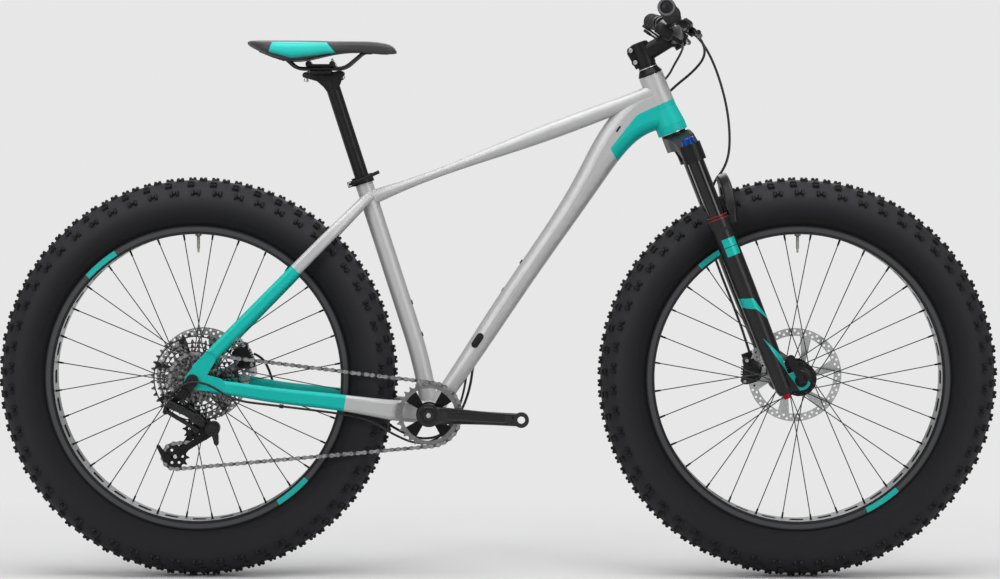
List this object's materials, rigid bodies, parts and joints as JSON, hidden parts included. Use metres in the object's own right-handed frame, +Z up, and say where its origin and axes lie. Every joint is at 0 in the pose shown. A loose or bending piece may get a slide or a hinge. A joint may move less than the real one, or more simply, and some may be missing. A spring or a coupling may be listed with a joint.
{
  "type": "fat tire bike",
  "caption": "Hardtail mountain bicycle with very wide knobbly tyres, a suspension fork, disc brakes and a single chainring with a wide cassette.",
  "frame": {"origin": "on the ground, midway between the two wheel axles, in the plane of the wheels", "axes": "+X forward, +Y to the rider's left, +Z up"},
  "size_m": [1.9044, 0.7542, 1.0868],
  "materials": {
    "frame_paint": "satin silver",
    "teal_paint": "satin teal",
    "black_metal": "black anodised",
    "dark_rim": "dark grey anodised",
    "steel": "brushed",
    "tread": "matt black rubber",
    "grip_rubber": "matt",
    "black_plastic": "matt",
    "saddle_cover": "soft cover over foam",
    "blue_metal": "blue anodised",
    "red_metal": "red anodised",
    "line_cover": "satin sheath"
  },
  "bodies": {
    "frame": {"head_tube": "frame_paint", "top_tube": "frame_paint", "down_tube": "frame_paint", "seat_tube": "frame_paint", "bottom_bracket_shell": "frame_paint", "seat_stays": "frame_paint", "chain_stays": "frame_paint", "rear_dropouts": "teal_paint", "frame_bearings": "steel", "seat_clamp": "black_metal", "frame_fittings": "black_metal", "rear_brake_caliper": "black_metal", "rear_brake_hose": "line_cover", "shift_cable": "line_cover", "chain": "steel", "derailleur_upper_knuckle": "black_metal"},
    "steering": {"fork_crown": "black_metal", "stanchions": "black_metal", "headset_spacers": "black_metal", "stem": "black_metal", "handlebar": "black_metal", "grips": "grip_rubber", "brake_master_cylinders": "black_metal", "shifter_body": "black_plastic", "front_brake_hose": "line_cover"},
    "fork_lower": {"fork_lowers": "black_metal", "front_brake_caliper": "black_metal", "front_axle": "black_metal"},
    "front_wheel": {"front_tyre": "tread", "front_rim": "dark_rim", "front_spokes": "steel", "front_hub": "black_metal", "front_rotor": "steel"},
    "rear_wheel": {"rear_tyre": "tread", "rear_rim": "dark_rim", "rear_spokes": "steel", "rear_hub": "black_metal", "rear_rotor": "steel"},
    "cranks": {"crank_arm_right": "black_metal", "crank_arm_left": "black_metal", "chainring": "black_metal"},
    "cassette": {"cassette": "steel"},
    "outer_link": {"derailleur_outer_link": "black_metal"},
    "inner_link": {"derailleur_inner_link": "black_metal"},
    "lower_knuckle": {"derailleur_lower_knuckle": "black_metal"},
    "cage": {"derailleur_cage": "black_metal"},
    "guide_pulley": {"guide_pulley": "black_plastic"},
    "tension_pulley": {"tension_pulley": "black_plastic"},
    "seat": {"seat_post": "black_metal", "saddle_rails": "steel", "saddle_shell": "black_plastic", "saddle_pad": "saddle_cover"},
    "seat_lever": {"seat_clamp_lever": "black_metal"},
    "axle_lever": {"front_axle_lever": "black_metal"},
    "brake_lever_right": {"brake_lever_right": "black_metal"},
    "brake_lever_left": {"brake_lever_left": "black_metal"},
    "shift_paddle": {"shift_paddle": "black_plastic"},
    "release_paddle": {"release_paddle": "black_plastic"},
    "compression_dial": {"compression_dial": "blue_metal"},
    "rebound_knob": {"rebound_knob": "red_metal"}
  },
  "joints": [
    {"name": "steering_turn", "type": "hinge", "parent": "frame", "child": "steering", "pos_m": [0.52352, 0, 0.36239], "axis": [-0.3649, 0, 0.9311], "range_deg": [-60, 60], "deforming": ["rear_brake_hose", "shift_cable"]},
    {"name": "fork_travel", "type": "slide", "parent": "steering", "child": "fork_lower", "axis": [-0.3649, 0, 0.9311], "range_m": [0, 0.1], "stiffness_N_per_m": 6000, "springref_m": -0.02, "deforming": ["front_brake_hose"]},
    {"name": "front_wheel_spin", "type": "hinge", "parent": "fork_lower", "child": "front_wheel", "pos_m": [0.571, 0, 0.381], "axis": [0, 1, 0], "continuous": true},
    {"name": "rear_wheel_spin", "type": "hinge", "parent": "frame", "child": "rear_wheel", "pos_m": [-0.571, 0, 0.381], "axis": [0, 1, 0], "continuous": true},
    {"name": "crank_spin", "type": "hinge", "parent": "frame", "child": "cranks", "pos_m": [-0.1296, 0, 0.3143], "axis": [0, 1, 0], "continuous": true, "deforming": ["chain"]},
    {"name": "cassette_spin", "type": "hinge", "parent": "frame", "child": "cassette", "pos_m": [-0.571, 0, 0.381], "axis": [0, 1, 0], "continuous": true, "deforming": ["chain"]},
    {"name": "derailleur_shift", "type": "hinge", "parent": "frame", "child": "outer_link", "pos_m": [-0.613, -0.124, 0.336], "axis": [0.0523, 0.8798, 0.4725], "range_deg": [-34, 38], "deforming": ["chain"]},
    {"name": "inner_link_swing", "type": "hinge", "parent": "frame", "child": "inner_link", "pos_m": [-0.62217, -0.11738, 0.32468], "axis": [0.0523, 0.8798, 0.4725], "range_deg": [-34, 38]},
    {"name": "lower_knuckle_swing", "type": "hinge", "parent": "outer_link", "child": "lower_knuckle", "pos_m": [-0.55738, -0.10811, 0.30025], "axis": [0.0523, 0.8798, 0.4725], "range_deg": [-38, 34], "deforming": ["chain"]},
    {"name": "cage_swing", "type": "hinge", "parent": "lower_knuckle", "child": "cage", "pos_m": [-0.536, 0, 0.29], "axis": [0, 1, 0], "range_deg": [-30, 0], "stiffness_Nm_per_rad": 0.5, "springref_deg": 34.38, "deforming": ["chain"]},
    {"name": "guide_pulley_spin", "type": "hinge", "parent": "cage", "child": "guide_pulley", "pos_m": [-0.569, 0, 0.287], "axis": [0, 1, 0], "continuous": true, "deforming": ["chain"]},
    {"name": "tension_pulley_spin", "type": "hinge", "parent": "cage", "child": "tension_pulley", "pos_m": [-0.60918, 0, 0.23464], "axis": [0, 1, 0], "continuous": true, "deforming": ["chain"]},
    {"name": "seat_height", "type": "slide", "parent": "frame", "child": "seat", "axis": [-0.3074, 0, 0.9516], "range_m": [-0.12, 0.06]},
    {"name": "seat_lever_swing", "type": "hinge", "parent": "frame", "child": "seat_lever", "pos_m": [-0.28055, -0.014, 0.74808], "axis": [0.3074, 0, -0.9516], "range_deg": [0, 150]},
    {"name": "axle_lever_swing", "type": "hinge", "parent": "fork_lower", "child": "axle_lever", "pos_m": [0.571, -0.115, 0.381], "axis": [0.9311, 0, 0.3649], "range_deg": [0, 100]},
    {"name": "brake_pull_right", "type": "hinge", "parent": "steering", "child": "brake_lever_right", "pos_m": [0.36192, -0.172, 1.03176], "axis": [-0.5736, 0.0038, -0.8191], "range_deg": [0, 14], "stiffness_Nm_per_rad": 1, "springref_deg": -14.32},
    {"name": "brake_pull_left", "type": "hinge", "parent": "steering", "child": "brake_lever_left", "pos_m": [0.36192, 0.172, 1.03176], "axis": [0.5736, 0.0038, 0.8191], "range_deg": [0, 14], "stiffness_Nm_per_rad": 1, "springref_deg": -14.32},
    {"name": "shift_push", "type": "hinge", "parent": "steering", "child": "shift_paddle", "pos_m": [0.32599, -0.186, 1.05685], "axis": [-0.5736, 0.0038, -0.8191], "range_deg": [0, 24], "stiffness_Nm_per_rad": 0.3, "springref_deg": -17.19},
    {"name": "release_push", "type": "hinge", "parent": "steering", "child": "release_paddle", "pos_m": [0.32599, -0.186, 1.05685], "axis": [-0.5736, 0.0038, -0.8191], "range_deg": [0, 12], "stiffness_Nm_per_rad": 0.3, "springref_deg": -17.19},
    {"name": "compression_turn", "type": "hinge", "parent": "steering", "child": "compression_dial", "pos_m": [0.35962, -0.09, 0.82445], "axis": [-0.3649, 0, 0.9311], "range_deg": [0, 270]},
    {"name": "rebound_turn", "type": "hinge", "parent": "fork_lower", "child": "rebound_knob", "pos_m": [0.54352, -0.09, 0.35519], "axis": [-0.3649, 0, 0.9311], "range_deg": [0, 270]}
  ],
  "couplings": [
    {"joint": "cassette_spin", "follows": "crank_spin", "ratio": 1.25},
    {"joint": "tension_pulley_spin", "follows": "crank_spin", "ratio": 2.5},
    {"joint": "guide_pulley_spin", "follows": "crank_spin", "ratio": -2.5},
    {"joint": "inner_link_swing", "follows": "derailleur_shift", "ratio": 1},
    {"joint": "lower_knuckle_swing", "follows": "derailleur_shift", "ratio": -1}
  ]
}
